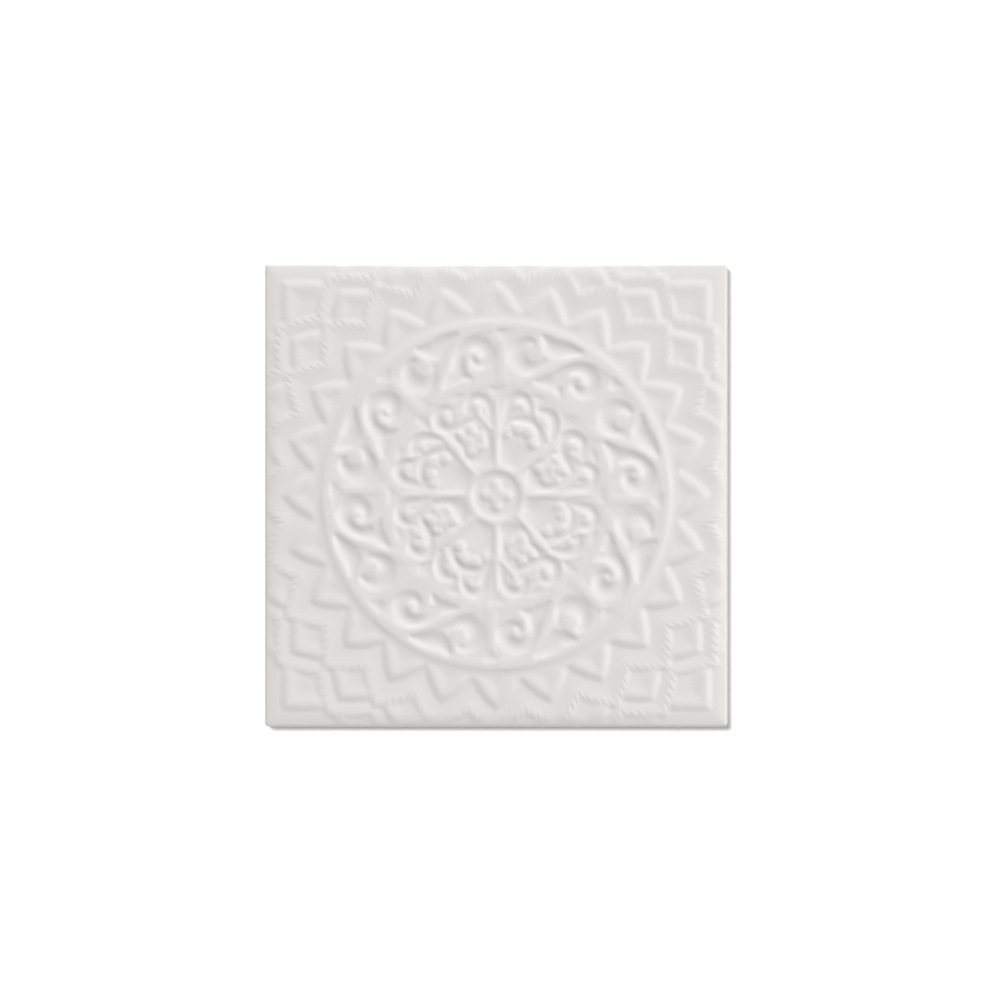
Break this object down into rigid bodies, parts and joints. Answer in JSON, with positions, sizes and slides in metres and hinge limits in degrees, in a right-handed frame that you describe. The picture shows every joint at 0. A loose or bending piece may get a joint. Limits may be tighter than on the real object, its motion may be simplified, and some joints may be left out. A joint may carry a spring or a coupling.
{
  "type": "relief glazed tile",
  "caption": "Square glazed ceramic wall tile with a moulded mandala relief: scroll ring, petal rows and a filigree rosette.",
  "frame": {"origin": "centre of the tile's back face, where it lies on the floor or meets the adhesive", "axes": "+Z out of the decorated face, +X and +Y along the square sides"},
  "size_m": [0.148, 0.148, 0.0086],
  "materials": {
    "white_glaze": "soft gloss off-white glaze on a white fired body"
  },
  "bodies": {
    "root": {"tile": "white_glaze"}
  },
  "joints": []
}
